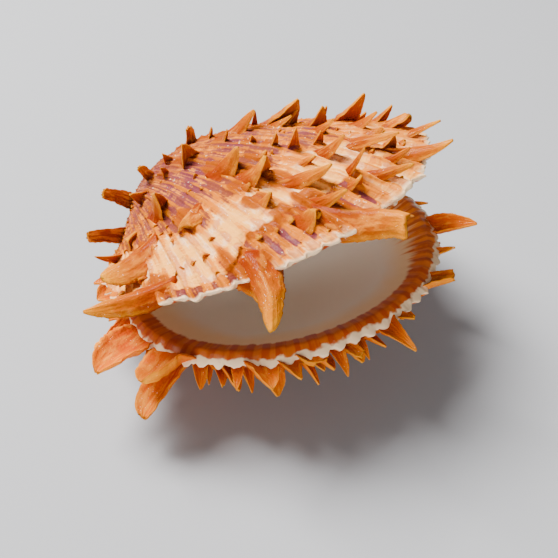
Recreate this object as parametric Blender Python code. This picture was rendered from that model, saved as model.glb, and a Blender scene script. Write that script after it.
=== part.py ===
"""Spiny oyster shell: two ribbed, spiny valves that gape at the front.

Metres, +Z up. The origin is the middle of the flat scar under the lower valve, where the
animal grew on rock and on which the shell now rests. The straight hinge line runs along X
at the back (+Y), and the valves open towards the front (-Y).

Each valve is a coil that grows by one rule: the margin's outline, shrunk by the growth
share and turned about the coil axis behind the hinge. A place on a valve is therefore
a station, counted round the margin from the -X end of the hinge to its +X end, and a
growth share, from 0 at the beak to 1 at the margin. Lengths in the tables are in
millimetres and angles in degrees.
"""

import math
from dataclasses import dataclass
from enum import Enum

import bmesh
import bpy
import numpy as np
from mathutils import Matrix, Vector

MM = 0.001

# Outline that both valves share, seen square on to the opening
OVAL_LENGTH = 82.0
OVAL_WIDTH = 87.0
OVAL_POWER = 1.9
HINGE_CUT = 0.06            # share of the oval's length that the straight hinge cuts off
STATIONS = 38               # equal steps round the margin, by which the spines are placed
FOLDS = 57                  # radial folds that crimp the margin
FOLD_FADE = 4.0             # folds at each end of the hinge over which they die out

# How the shell lies
HINGE_PLACE = (0.0, 19.2, 16.0)     # middle of the hinge line
REST_PITCH = 9.0                    # the opening of the lower valve rises to the front
GAPE = 17.5                         # angle between the valves
HINGE_GAP = 0.35                    # clear space between the valves at the hinge

# Wall and cavity
CAVITY_SCALE = 0.93
CAVITY_CENTRE = 0.46                # share of the oval's length in front of the hinge
HINGE_PLATE = 8.0                   # width of the thick wall behind the cavity
GROWTH_ROWS = (1.0, 0.90, 0.75, 0.57, 0.38, 0.22, 0.09)
CAVITY_ROWS = (1.0, 0.80, 0.50, 0.22)
CAVITY_FALL = (1.2, 0.6, -0.8)      # cubic by which the cavity deepens from edge to middle
HINGE_STEPS = 8

# Section of a spine: a roof over a gutter, as shares of half its width
SPINE_ROOF = 0.7
SPINE_WALL = 0.4
THINNEST_WALL = 0.5
ROOT_DEPTH = 1.0                    # how far a spine's root is sunk in the wall


@dataclass(frozen=True)
class Valve:
    """Growth rule and wall of one valve. side is +1 where the outside faces up."""

    name: str
    side: int
    scale: float
    coil: float
    setback: float
    lean: float
    lip: float
    fold_height: float
    depth: float


UPPER = Valve("upper_valve", 1, 1.01, 0.68, 2.0, 3.0, 1.4, 0.45, 13.5)
LOWER = Valve("lower_valve", -1, 0.99, 0.74, 4.5, 0.0, 1.8, 0.45, 15.0)


class Form(Enum):
    """Width along a spine, as shares of its width at 0, 1/3, 2/3 and 1 of its length."""

    THORN = (1.0, 0.72, 0.40, 0.0)
    BLADE = (0.85, 1.0, 0.70, 0.0)
    BROKEN = (1.0, 0.90, 0.80, 0.65)
    TONGUE = (0.70, 0.85, 1.0, 0.60)


@dataclass(frozen=True)
class Spine:
    """A guttered spine.

    It stands at a station and growth share, rises by lift from the surface, leans by swing
    towards the higher stations, and bends away from the surface by curl along its length.
    """

    station: float
    growth: float
    length: float
    width: float
    lift: float
    swing: float
    curl: float
    form: Form


UPPER_SPINES = (
    # Beak and the left flank
    Spine(10.2, 0.25, 12.0, 3.6, 50, -5, 0, Form.BROKEN),
    Spine(11.2, 0.40, 7.0, 3.0, 45, -20, 0, Form.THORN),
    Spine(14.2, 0.32, 9.0, 2.5, 40, -20, 0, Form.BROKEN),
    Spine(14.2, 0.42, 6.0, 2.0, 45, -10, 0, Form.THORN),
    Spine(16.5, 0.36, 6.0, 2.2, 45, -35, 0, Form.THORN),
    Spine(5.8, 0.49, 14.0, 3.3, 45, 10, 0, Form.BROKEN),
    Spine(7.8, 0.64, 4.0, 4.5, 45, 25, 0, Form.THORN),
    Spine(5.5, 0.71, 12.0, 2.2, 40, 20, 0, Form.THORN),
    Spine(8.5, 0.76, 14.0, 6.0, 40, -60, 0, Form.BLADE),
    Spine(8.8, 0.94, 18.0, 4.5, 30, -90, 0, Form.BLADE),
    Spine(11.0, 0.59, 9.0, 4.5, 55, 45, 0, Form.THORN),
    Spine(11.8, 0.76, 6.0, 6.0, 65, 75, 0, Form.BROKEN),
    # Crest
    Spine(20.8, 0.35, 8.0, 2.8, 40, -35, 0, Form.BROKEN),
    Spine(16.2, 0.46, 8.0, 4.5, 55, -20, 0, Form.THORN),
    Spine(20.5, 0.49, 10.0, 4.0, 35, 35, 0, Form.THORN),
    Spine(24.2, 0.56, 16.0, 5.0, 25, -35, 0, Form.BLADE),
    Spine(22.2, 0.57, 9.0, 2.8, 25, 5, 0, Form.THORN),
    Spine(15.8, 0.62, 9.0, 5.0, 50, 40, 0, Form.THORN),
    Spine(16.0, 0.71, 9.0, 5.0, 55, 20, 0, Form.THORN),
    Spine(19.2, 0.70, 8.0, 2.2, 60, -40, 0, Form.THORN),
    Spine(25.2, 0.70, 8.0, 2.8, 40, -45, 0, Form.THORN),
    Spine(25.8, 0.78, 13.0, 4.8, 40, -50, 0, Form.THORN),
    Spine(21.5, 0.71, 8.0, 3.0, 40, 0, 0, Form.THORN),
    # Front
    Spine(16.5, 0.78, 13.0, 4.2, 28, 32, 0, Form.BLADE),
    Spine(14.8, 0.80, 6.0, 3.3, 50, 35, 0, Form.THORN),
    Spine(26.8, 0.90, 10.0, 3.3, 40, -50, 0, Form.THORN),
    Spine(25.5, 0.91, 8.0, 2.8, 25, -20, 0, Form.TONGUE),
    Spine(24.0, 0.94, 11.0, 2.8, 35, 5, 0, Form.THORN),
    Spine(20.8, 0.79, 16.0, 3.8, 25, 0, 0, Form.THORN),
    Spine(19.2, 0.78, 9.0, 3.3, 50, 10, 0, Form.THORN),
    Spine(21.5, 0.90, 7.0, 3.0, 55, -55, 0, Form.THORN),
    Spine(21.0, 0.92, 15.0, 5.0, 30, 10, 0, Form.THORN),
    Spine(20.2, 0.91, 8.0, 2.2, 40, 25, 0, Form.THORN),
    Spine(18.8, 0.90, 12.0, 3.3, 25, 30, 0, Form.THORN),
    Spine(18.5, 0.87, 10.0, 2.0, 65, 0, 0, Form.THORN),
    Spine(16.2, 0.88, 11.0, 3.3, 40, 20, 0, Form.THORN),
    Spine(16.2, 0.93, 18.0, 6.0, 15, 20, 0, Form.BROKEN),
    Spine(15.5, 0.92, 4.0, 4.5, 70, 25, 0, Form.THORN),
    Spine(12.6, 0.92, 19.0, 8.0, 22, -20, -60, Form.BLADE),
    # Right flank
    Spine(28.5, 0.62, 10.0, 3.0, 40, -10, 0, Form.THORN),
    Spine(29.5, 0.85, 11.0, 3.5, 35, 0, 0, Form.THORN),
    Spine(30.5, 0.42, 7.0, 2.5, 45, 0, 0, Form.THORN),
    Spine(31.5, 0.95, 12.0, 4.0, 30, -10, 0, Form.BLADE),
    Spine(32.5, 0.70, 9.0, 3.0, 40, 10, 0, Form.THORN),
    Spine(34.0, 0.90, 10.0, 3.5, 35, 10, 0, Form.THORN),
    Spine(36.0, 0.75, 8.0, 2.8, 40, 0, 0, Form.THORN),
)

LOWER_SPINES = (
    # Left end
    Spine(1.6, 0.96, 8.0, 3.5, 35, -60, 0, Form.THORN),
    Spine(2.5, 0.95, 8.0, 6.5, 25, -25, 0, Form.BLADE),
    Spine(4.3, 0.96, 6.0, 3.0, 25, -35, 0, Form.THORN),
    Spine(5.1, 0.97, 12.0, 4.0, 25, -20, 0, Form.THORN),
    Spine(6.2, 0.96, 17.0, 7.5, 30, -28, 0, Form.BLADE),
    Spine(7.0, 0.92, 8.0, 2.5, 40, -10, 0, Form.THORN),
    Spine(8.2, 0.97, 11.0, 7.5, 30, -42, 0, Form.BLADE),
    Spine(8.6, 0.93, 16.0, 5.5, 45, -50, 40, Form.TONGUE),
    # Under the front margin
    Spine(9.7, 0.90, 8.0, 2.2, 40, 5, 0, Form.THORN),
    Spine(10.2, 0.90, 10.0, 2.8, 40, 0, 0, Form.THORN),
    Spine(10.9, 0.96, 8.0, 2.8, 40, -20, 0, Form.THORN),
    Spine(11.7, 0.97, 10.0, 5.5, 40, 0, 0, Form.BLADE),
    Spine(12.7, 0.97, 9.0, 4.0, 40, 0, 0, Form.THORN),
    Spine(13.7, 0.97, 4.0, 6.5, 40, -10, 0, Form.BROKEN),
    Spine(14.2, 0.91, 8.0, 2.0, 40, 10, 0, Form.THORN),
    Spine(14.7, 0.97, 9.0, 3.0, 45, -20, 0, Form.THORN),
    Spine(15.1, 0.96, 8.0, 2.8, 40, 0, 0, Form.BROKEN),
    Spine(15.8, 0.96, 8.0, 2.2, 40, -25, 0, Form.THORN),
    Spine(16.9, 0.97, 13.0, 4.0, 30, -15, 0, Form.THORN),
    Spine(17.5, 0.97, 8.0, 2.2, 20, 0, 0, Form.THORN),
    # Right end
    Spine(19.7, 0.97, 10.0, 4.5, 20, 25, 0, Form.BROKEN),
    Spine(22.0, 0.97, 8.0, 2.0, 20, 15, 0, Form.THORN),
    Spine(24.1, 0.97, 15.0, 4.4, 20, -10, 0, Form.THORN),
    Spine(26.5, 0.96, 8.0, 3.0, 30, 0, 0, Form.THORN),
    Spine(28.5, 0.96, 11.0, 5.0, 30, 0, 0, Form.BLADE),
    Spine(31.0, 0.95, 10.0, 4.5, 35, 10, 0, Form.THORN),
    Spine(33.5, 0.95, 9.0, 5.0, 30, 20, 0, Form.BLADE),
    Spine(36.0, 0.95, 8.0, 3.5, 30, 40, 0, Form.THORN),
    # Underside
    Spine(6.5, 0.70, 8.0, 6.0, 45, 0, 0, Form.BLADE),
    Spine(11.5, 0.74, 9.0, 6.0, 40, 0, 0, Form.BLADE),
    Spine(16.5, 0.76, 9.0, 5.0, 40, 0, 0, Form.THORN),
    Spine(21.0, 0.78, 9.0, 5.0, 40, 0, 0, Form.BLADE),
    Spine(26.0, 0.74, 9.0, 5.0, 45, 0, 0, Form.THORN),
    Spine(31.5, 0.70, 8.0, 5.0, 45, 0, 0, Form.BLADE),
)


def margin_outline() -> tuple:
    """Dense points of the margin from one hinge end to the other, with running lengths."""
    half_length = OVAL_LENGTH / 2
    start = math.acos((1 - 2 * HINGE_CUT) ** (OVAL_POWER / 2))
    turn = np.linspace(start, 2 * math.pi - start, 721)
    across = np.sign(np.sin(turn)) * np.abs(np.sin(turn)) ** (2 / OVAL_POWER) * OVAL_WIDTH / 2
    along = -np.sign(np.cos(turn)) * np.abs(np.cos(turn)) ** (2 / OVAL_POWER) * half_length
    along = along + half_length * (1 - 2 * HINGE_CUT)
    steps = np.hypot(np.diff(across), np.diff(along))
    return across, along, np.concatenate(([0.0], np.cumsum(steps)))


OUTLINE = margin_outline()


def margin_point(station: float) -> tuple:
    """Place of a station on the margin: across the shell and forward of the hinge line."""
    across, along, run = OUTLINE
    at = station / STATIONS * run[-1]
    return float(np.interp(at, run, across)), float(np.interp(at, run, along))


def grown(valve: Valve, across: float, along: float, growth: float) -> Vector:
    """A margin point carried back along the coil to an earlier growth share."""
    angle = -valve.coil * math.log(growth)
    reach = growth * (along * valve.scale + valve.setback)
    forward = reach * math.cos(angle) - valve.setback
    height = reach * math.sin(angle) + valve.lip
    sideways = growth * across * valve.scale + (1 - growth) * valve.lean
    return Vector((sideways, forward, valve.side * height))


def surface_frame(valve: Valve, station: float, growth: float) -> tuple:
    """Smooth surface point, its growth direction, the way to higher stations and the normal."""
    here = grown(valve, *margin_point(station), growth)
    ahead = grown(valve, *margin_point(station), growth + 0.01) - here
    beside = grown(valve, *margin_point(min(station + 0.1, STATIONS)), growth)
    beside = beside - grown(valve, *margin_point(max(station - 0.1, 0)), growth)
    ahead.normalize()
    normal = ahead.cross(beside).normalized() * valve.side
    return here, ahead, normal.cross(ahead) * valve.side, normal


def folded(valve: Valve, fold: float, growth: float) -> Vector:
    """Surface point with the folds' rise and fall."""
    here, _, _, normal = surface_frame(valve, fold / FOLDS * STATIONS, growth)
    rise = valve.fold_height * growth * min(fold, FOLDS - fold, FOLD_FADE) / FOLD_FADE
    return here + normal * rise * math.cos(2 * math.pi * fold)


def cavity_point(valve: Valve, across: float, along: float, share: float) -> Vector:
    """Point of the inner bowl: share is 1 at its edge and 0 at its deepest place."""
    centre = CAVITY_CENTRE * OVAL_LENGTH
    edge_across = across * CAVITY_SCALE * valve.scale
    edge_along = max(centre + (along * valve.scale - centre) * CAVITY_SCALE, HINGE_PLATE)
    inward = 1 - share
    fall = sum(part * inward ** power for power, part in enumerate(CAVITY_FALL, 1))
    forward = centre + (edge_along - centre) * share
    return Vector((edge_across * share, forward, valve.side * valve.depth * fall))


def valve_body(valve: Valve) -> bmesh.types.BMesh:
    """Closed shell wall: folded outside, blunt lip and smooth cavity, in the valve's frame."""
    folds = [step / 2 for step in range(2 * FOLDS + 1)]
    end_across, end_along = margin_point(0)
    hinge = [end_across * (2 * step / HINGE_STEPS - 1) for step in range(1, HINGE_STEPS)]
    shell = bmesh.new()
    rows = []
    for growth in GROWTH_ROWS:
        row = [folded(valve, fold, growth) for fold in folds]
        row += [grown(valve, across, end_along, growth) for across in hinge]
        rows.append([shell.verts.new(point) for point in row])
    rows.reverse()
    for share in CAVITY_ROWS:
        row = [
            cavity_point(valve, *margin_point(fold / FOLDS * STATIONS), share)
            for fold in folds
        ]
        row += [cavity_point(valve, across, end_along, share) for across in hinge]
        rows.append([shell.verts.new(point) for point in row])
    for near, far in zip(rows, rows[1:]):
        for step, corner in enumerate(near):
            follow = (step + 1) % len(near)
            shell.faces.new((corner, near[follow], far[follow], far[step]))
    for ring in (rows[0], rows[-1]):
        middle = sum((vert.co for vert in ring), Vector()) / len(ring)
        pole = shell.verts.new(middle)
        for step, corner in enumerate(ring):
            shell.faces.new((corner, ring[(step + 1) % len(ring)], pole))
    bmesh.ops.recalc_face_normals(shell, faces=shell.faces)
    return shell


def add_spine(shell: bmesh.types.BMesh, valve: Valve, spine: Spine) -> None:
    """One closed spine with a roof-shaped section, its root sunk in the wall."""
    here, ahead, beside, normal = surface_frame(valve, spine.station, spine.growth)
    swing = math.radians(spine.swing)
    heading = ahead * math.cos(swing) + beside * math.sin(swing)
    side = beside * math.cos(swing) - ahead * math.sin(swing)
    step = spine.length / (len(spine.form.value) - 1)
    lift = math.radians(spine.lift)
    point = here - (normal + heading) * ROOT_DEPTH
    rings = []
    for share in spine.form.value:
        back = normal * math.cos(lift) - heading * math.sin(lift)
        half = spine.width * share / 2
        roof = SPINE_ROOF * half
        wall = max(SPINE_WALL * half, THINNEST_WALL)
        if share == 0:
            rings.append([shell.verts.new(point)])
        else:
            corners = (side * half - back * roof, Vector(), -side * half - back * roof, -back * wall)
            rings.append([shell.verts.new(point + corner) for corner in corners])
        point = point + (heading * math.cos(lift) + normal * math.sin(lift)) * step
        lift += math.radians(spine.curl) / (len(spine.form.value) - 1)
    shell.faces.new(rings[0])
    for near, far in zip(rings, rings[1:]):
        for corner in range(4):
            follow = (corner + 1) % 4
            if len(far) == 1:
                shell.faces.new((near[corner], near[follow], far[0]))
            else:
                shell.faces.new((near[corner], near[follow], far[follow], far[corner]))
    if len(rings[-1]) == 4:
        shell.faces.new(reversed(rings[-1]))


def spine_set(valve: Valve, spines: tuple) -> bmesh.types.BMesh:
    """All spines of one valve, each a closed body."""
    shell = bmesh.new()
    for spine in spines:
        add_spine(shell, valve, spine)
    bmesh.ops.recalc_face_normals(shell, faces=shell.faces)
    return shell


def placing(valve: Valve) -> Matrix:
    """Where a valve's own frame stands in the shell's frame, in metres."""
    turn = Matrix.Rotation(math.radians(180), 4, "Z")
    lean = Matrix.Rotation(math.radians(-REST_PITCH), 4, "X")
    opening = Matrix.Identity(4)
    if valve is UPPER:
        opening = Matrix.Rotation(math.radians(GAPE), 4, "X")
        opening = Matrix.Translation((0, 0, HINGE_GAP)) @ opening
    return Matrix.Scale(MM, 4) @ Matrix.Translation(HINGE_PLACE) @ lean @ turn @ opening


def make_object(name: str, shell: bmesh.types.BMesh, place: Matrix) -> bpy.types.Object:
    """Object at the origin with its place in its mesh."""
    bmesh.ops.transform(shell, matrix=place, verts=shell.verts)
    mesh = bpy.data.meshes.new(name)
    shell.to_mesh(mesh)
    shell.free()
    thing = bpy.data.objects.new(name, mesh)
    bpy.context.collection.objects.link(thing)
    return thing


def hide_cutter(cutter: bpy.types.Object) -> None:
    """Keep a helper body out of the model."""
    cutter.hide_render = True
    cutter.display_type = "WIRE"


def combine(target: bpy.types.Object, other: bpy.types.Object, operation: str) -> None:
    """Boolean of two bodies, kept live on the target."""
    modifier = target.modifiers.new(f"{operation.lower()}_{other.name}", "BOOLEAN")
    modifier.operation = operation
    modifier.solver = "EXACT"
    modifier.use_self = True
    modifier.object = other
    hide_cutter(other)


def finish(thing: bpy.types.Object, colour: tuple, roughness: float) -> None:
    """Shell material: non-metallic, satin."""
    material = bpy.data.materials.new(f"{thing.name}_shell")
    material.use_nodes = True
    surface = material.node_tree.nodes["Principled BSDF"]
    surface.inputs["Base Color"].default_value = (*colour, 1.0)
    surface.inputs["Roughness"].default_value = roughness
    surface.inputs["Metallic"].default_value = 0.0
    thing.data.materials.append(material)


def make_valve(valve: Valve, spines: tuple, colour: tuple) -> bpy.types.Object:
    """A valve with its spines grown on."""
    place = placing(valve)
    thing = make_object(valve.name, valve_body(valve), place)
    crown = make_object(f"{valve.name}_spines", spine_set(valve, spines), place)
    combine(thing, crown, "UNION")
    finish(thing, colour, 0.35)
    return thing


def make_ground_cut(thing: bpy.types.Object) -> None:
    """Cut the lower valve flat where it grew on rock, and trim spines that reach it."""
    block = bmesh.new()
    bmesh.ops.create_cube(block, size=1.0)
    place = Matrix.Translation((0, 0, -0.05)) @ Matrix.Diagonal((0.3, 0.3, 0.1, 1.0))
    combine(thing, make_object("ground_block", block, place), "DIFFERENCE")


def main() -> None:
    """Build both valves."""
    for old in list(bpy.data.objects):
        bpy.data.objects.remove(old, do_unlink=True)
    make_valve(UPPER, UPPER_SPINES, (0.62, 0.26, 0.12))
    lower = make_valve(LOWER, LOWER_SPINES, (0.60, 0.28, 0.12))
    make_ground_cut(lower)


main()
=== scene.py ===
"""Spiny oyster shell, dressed: two gaping valves with folds, scales and guttered spines.

The shell stands on a pale floor in soft light. Each valve is grown by the same rule as its
solid: the margin's outline, shrunk by the growth share and turned about a coil axis behind the
hinge. A place on a valve is a station, counted round the margin from the -X end of the
hinge, and a growth share, from 0 at the beak to 1 at the margin. The sizes of the shell are in
millimetres until a finished mesh is put in its place, in metres.
"""

from __future__ import annotations

import ast
import logging
import math
import textwrap
from dataclasses import dataclass
from enum import Enum

import bmesh
import bpy
from mathutils import Matrix, Vector

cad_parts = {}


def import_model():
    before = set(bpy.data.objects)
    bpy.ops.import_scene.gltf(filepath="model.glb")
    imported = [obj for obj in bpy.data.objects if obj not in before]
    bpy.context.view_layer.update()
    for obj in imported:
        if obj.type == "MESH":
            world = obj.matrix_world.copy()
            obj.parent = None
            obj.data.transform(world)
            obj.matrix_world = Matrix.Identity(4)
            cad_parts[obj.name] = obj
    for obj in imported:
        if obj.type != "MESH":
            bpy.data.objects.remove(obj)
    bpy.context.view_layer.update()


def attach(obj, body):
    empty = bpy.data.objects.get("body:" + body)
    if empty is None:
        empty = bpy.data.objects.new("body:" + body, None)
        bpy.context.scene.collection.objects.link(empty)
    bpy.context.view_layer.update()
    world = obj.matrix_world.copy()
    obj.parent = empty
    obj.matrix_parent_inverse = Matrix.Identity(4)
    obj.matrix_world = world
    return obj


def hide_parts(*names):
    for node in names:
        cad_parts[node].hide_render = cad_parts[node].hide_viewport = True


LOG = logging.getLogger("shell")
MM = 0.001
FLOOR_GAP = 0.00002

# Outline that both valves share, seen square on to the opening
OVAL_LENGTH = 82.0
OVAL_WIDTH = 87.0
OVAL_POWER = 1.9
HINGE_CUT = 0.06
STATIONS = 38.0
FOLDS = 57
FOLD_FADE = 4.0
OUTLINE_POINTS = 721

# How the shell lies
HINGE_PLACE = (0.0, 19.2, 16.0)
REST_PITCH = 9.0
GAPE = 17.5
HINGE_GAP = 0.35

# Hollow of a valve
CAVITY_SCALE = 0.93
CAVITY_CENTRE = 0.46
HINGE_PLATE = 8.0

# Fineness of a valve's surface: columns round the margin and along the hinge, and rows
MARGIN_COLUMNS = 570
HINGE_COLUMNS = 24
ROWS = 164
OUTSIDE_SHARE = 0.78
LIP_SHARE = 0.83
DRESSED_SHARE = OUTSIDE_SHARE + 0.008
BEAK_GROWTH = 0.05
LUMP_SIZE = 14.0

# Points nearer than this are one: in millimetres on a wall and a spine, then in metres
WALL_WELD = 0.002
SPINE_WELD = 0.001
SLIVER = 1e-7

NUMBER = "NodeSocketFloat"
WHOLE = "NodeSocketInt"
VECTOR = "NodeSocketVector"
MESH = "NodeSocketGeometry"
FINISH = "NodeSocketMaterial"

Wire = bpy.types.NodeSocket | float | int | bool | tuple

# What a function in a formula adds: the node, its inputs, its settings and the output taken
CALLS = {
    "x": ("ShaderNodeSeparateXYZ", (0,), {}, 0),
    "y": ("ShaderNodeSeparateXYZ", (0,), {}, 1),
    "vec": ("ShaderNodeCombineXYZ", (0, 1, 2), {}, 0),
    "cross": ("ShaderNodeVectorMath", (0, 1), {"operation": "CROSS_PRODUCT"}, 0),
    "unit": ("ShaderNodeVectorMath", (0,), {"operation": "NORMALIZE"}, 0),
    "length": ("ShaderNodeVectorMath", (0,), {"operation": "LENGTH"}, 1),
    "smooth": ("ShaderNodeMapRange", ("Value", "From Min", "From Max"),
               {"interpolation_type": "SMOOTHSTEP"}, 0),
    "noise": ("ShaderNodeTexNoise", ("Vector", "Scale", "Detail"), {}, 0),
    "ripple": ("ShaderNodeTexNoise", ("W", "Scale", "Detail"), {"noise_dimensions": "1D"}, 0),
    "mix": ("ShaderNodeMix", (0, 6, 7), {"data_type": "RGBA"}, 2),
    **{name: ("ShaderNodeMath", (0, 1), {"operation": operation}, 0)
       for name, operation in {
           "sin": "SINE", "cos": "COSINE", "abs": "ABSOLUTE", "floor": "FLOOR",
           "fract": "FRACT", "sign": "SIGN", "exp": "EXPONENT", "log": "LOGARITHM",
           "pow": "POWER", "min": "MINIMUM", "max": "MAXIMUM", "below": "LESS_THAN",
           "above": "GREATER_THAN"}.items()},
}
SIGNS = {ast.Add: "ADD", ast.Sub: "SUBTRACT", ast.Mult: "MULTIPLY", ast.Div: "DIVIDE"}


def srgb(code: str) -> tuple[float, float, float, float]:
    """Turn an sRGB hex colour into linear light.

    Args:
        code: Six hex digits.

    Returns:
        Linear red, green, blue and full opacity.
    """
    parts = [int(code[at : at + 2], 16) / 255 for at in (0, 2, 4)]
    red, green, blue = (
        part / 12.92 if part <= 0.04045 else ((part + 0.055) / 1.055) ** 2.4 for part in parts
    )
    return red, green, blue, 1.0


class Bench:
    """A node tree being wired. Its formulas name what was wired before them."""

    def __init__(self, tree: bpy.types.NodeTree, **wires: Wire) -> None:
        """Take the tree to wire, and the numbers and colours that its formulas name."""
        self.tree = tree
        self.wires: dict[str, Wire] = {"tau": math.tau, **wires}

    def add(self, kind: str, inputs: dict | None = None, **settings) -> bpy.types.Node:
        """Add a node with its settings and links.

        Args:
            kind: The node's type name.
            inputs: Socket name or number to a value or to a socket that feeds it.
            **settings: Properties of the node.

        Returns:
            The new node.
        """
        made = self.tree.nodes.new(kind)
        for name, value in settings.items():
            setattr(made, name, value)
        for key, value in (inputs or {}).items():
            if isinstance(value, bpy.types.NodeSocket):
                self.tree.links.new(value, made.inputs[key])
            else:
                made.inputs[key].default_value = value
        return made

    def let(self, formulas: str) -> None:
        """Wire formulas one after another, each under its name.

        Args:
            formulas: Lines of the form name = formula.
        """
        for line in ast.parse(textwrap.dedent(formulas)).body:
            self.wires[line.targets[0].id] = self._term(line.value)

    def calc(self, formula: str) -> Wire:
        """Wire one formula.

        Args:
            formula: Sums of numbers, vectors and names, with the functions in CALLS.

        Returns:
            The socket that carries the result.
        """
        return self._term(ast.parse(formula).body[0].value)

    def wire(self, name: str) -> Wire:
        """Find what a name stands for: what was wired, or else what the mesh keeps.

        Args:
            name: The name in a formula.

        Returns:
            The number, colour or socket.
        """
        if name not in self.wires:
            made = self.add("ShaderNodeAttribute", attribute_name=name)
            self.wires[name] = made.outputs["Fac"]
        return self.wires[name]

    def _term(self, term: ast.expr) -> Wire:
        """Wire one term of a formula and what it holds.

        Args:
            term: The term, taken apart.

        Returns:
            The number or socket that it comes to.
        """
        if isinstance(term, ast.Constant):
            return float(term.value)
        if isinstance(term, ast.Name):
            return self.wire(term.id)
        if isinstance(term, ast.UnaryOp):
            value = self._term(term.operand)
            return -value if isinstance(value, float) else self._join("MULTIPLY", value, -1.0)
        if isinstance(term, ast.BinOp):
            return self._join(SIGNS[type(term.op)], self._term(term.left),
                              self._term(term.right))
        kind, keys, settings, output = CALLS[term.func.id]
        inputs = dict(zip(keys, [self._term(part) for part in term.args]))
        return self.add(kind, inputs, **settings).outputs[output]

    def _join(self, operation: str, *sides: Wire) -> bpy.types.NodeSocket:
        """Wire a sum of two numbers, two vectors, or a vector and a number.

        Args:
            operation: What the node does with both sides.
            *sides: The left side and the right side.

        Returns:
            The socket that carries the result.
        """
        flow = [isinstance(side, bpy.types.NodeSocket) and side.type == "VECTOR"
                for side in sides]
        if any(flow) and not all(flow):
            vector, number = sides if flow[0] else reversed(sides)
            made = self.add("ShaderNodeVectorMath", {0: vector, "Scale": number},
                            operation="SCALE")
        else:
            kind = "ShaderNodeVectorMath" if all(flow) else "ShaderNodeMath"
            made = self.add(kind, dict(enumerate(sides)), operation=operation)
        return made.outputs[0]


class GeometryBench(Bench):
    """A Geometry Nodes tree being wired, with named inputs."""

    def __init__(self, name: str, **wires: Wire) -> None:
        """Start a tree whose formulas know where the points are.

        Args:
            name: The tree's name.
            **wires: Numbers that its formulas name.
        """
        super().__init__(bpy.data.node_groups.new(name, "GeometryNodeTree"), **wires)
        self.entry = self.tree.nodes.new("NodeGroupInput")
        self.exit = self.tree.nodes.new("NodeGroupOutput")
        self.wires["position"] = self.add("GeometryNodeInputPosition").outputs[0]

    def inlet(self, kind: str, *names: str) -> None:
        """Add named inputs, which formulas may use.

        Args:
            kind: The sockets' type name.
            *names: Names of the inputs.
        """
        for name in names:
            self.tree.interface.new_socket(name=name, in_out="INPUT", socket_type=kind)
            self.wires[name] = self.entry.outputs[name]

    def outlet(self, kind: str, name: str, value: Wire) -> None:
        """Add a named output and feed it."""
        self.tree.interface.new_socket(name=name, in_out="OUTPUT", socket_type=kind)
        self.tree.links.new(value, self.exit.inputs[name])

    def wire(self, name: str, kind: str = "FLOAT") -> Wire:
        """Find what a name stands for: what was wired, or else what the points keep.

        Args:
            name: The name in a formula.
            kind: What the points keep under it.

        Returns:
            The number or socket.
        """
        if name not in self.wires:
            made = self.add("GeometryNodeInputNamedAttribute", {"Name": name}, data_type=kind)
            self.wires[name] = made.outputs[0]
        return self.wires[name]

    def keep(self, geometry: Wire, *names: str, kind: str = "FLOAT") -> bpy.types.NodeSocket:
        """Store on every point what names stand for. From then on they stand for what is stored.

        Args:
            geometry: What the points belong to.
            *names: Names to store.
            kind: What is stored.

        Returns:
            The geometry with what it keeps.
        """
        for name in names:
            inputs = {"Geometry": geometry, "Name": name, "Value": self.wires.pop(name)}
            geometry = self.add("GeometryNodeStoreNamedAttribute", inputs, data_type=kind,
                                domain="POINT").outputs[0]
            self.wire(name, kind)
        return geometry


@dataclass(frozen=True)
class ValveSizes:
    """Growth, hollow, margin and scales of a valve. side is +1 where the outside faces up."""

    node: str
    slot: str
    side: float
    scale: float
    coil: float
    setback: float
    lean: float
    lip: float
    fold_height: float
    depth: float
    scallop: float
    staged: float
    longest_scale: float

    def placing(self) -> Matrix:
        """Find where the valve's own frame stands in the shell's frame.

        Returns:
            The move from the valve's millimetres to the shell's metres.
        """
        turn = Matrix.Rotation(math.radians(180), 4, "Z")
        lean = Matrix.Rotation(math.radians(-REST_PITCH), 4, "X")
        opening = Matrix.Identity(4)
        if self.side > 0:
            opening = Matrix.Rotation(math.radians(GAPE), 4, "X")
            opening = Matrix.Translation((0, 0, HINGE_GAP)) @ opening
        return Matrix.Scale(MM, 4) @ Matrix.Translation(HINGE_PLACE) @ lean @ turn @ opening


UPPER = ValveSizes("upper_valve", "upper_shell", side=1.0, scale=1.01, coil=0.68, setback=2.0,
                   lean=3.0, lip=1.4, fold_height=0.45, depth=13.5, scallop=0.9, staged=1.0,
                   longest_scale=3.2)
LOWER = ValveSizes("lower_valve", "lower_shell", side=-1.0, scale=0.99, coil=0.74, setback=4.5,
                   lean=0.0, lip=1.8, fold_height=0.24, depth=15.0, scallop=0.28, staged=0.0,
                   longest_scale=3.6)


class Form(Enum):
    """Belly, tip width, taper, root flare and roundness of tip of a spine's outline."""

    THORN = (0.50, 0.06, 0.85, 0.55, 0.0)
    BLADE = (1.20, 0.12, 0.85, 0.10, 0.5)
    BROKEN = (0.05, 0.65, 1.00, 0.35, 0.0)
    TONGUE = (0.80, 0.75, 0.90, 0.10, 1.0)
    SCOOP = (0.95, 0.42, 0.90, 0.10, 0.9)
    CLAW = (0.00, 0.06, 0.42, 1.00, 0.3)


@dataclass(frozen=True)
class Spine:
    """A guttered spine.

    It stands at a station and growth share, rises by lift from the surface, leans by swing
    towards the higher stations, and bends away from the surface by curl along its length.
    bow carries its middle sideways, in millimetres.
    """

    station: float
    growth: float
    length: float
    width: float
    lift: float
    swing: float
    form: Form = Form.THORN
    curl: float = 0.0
    bow: float = 0.0


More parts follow.
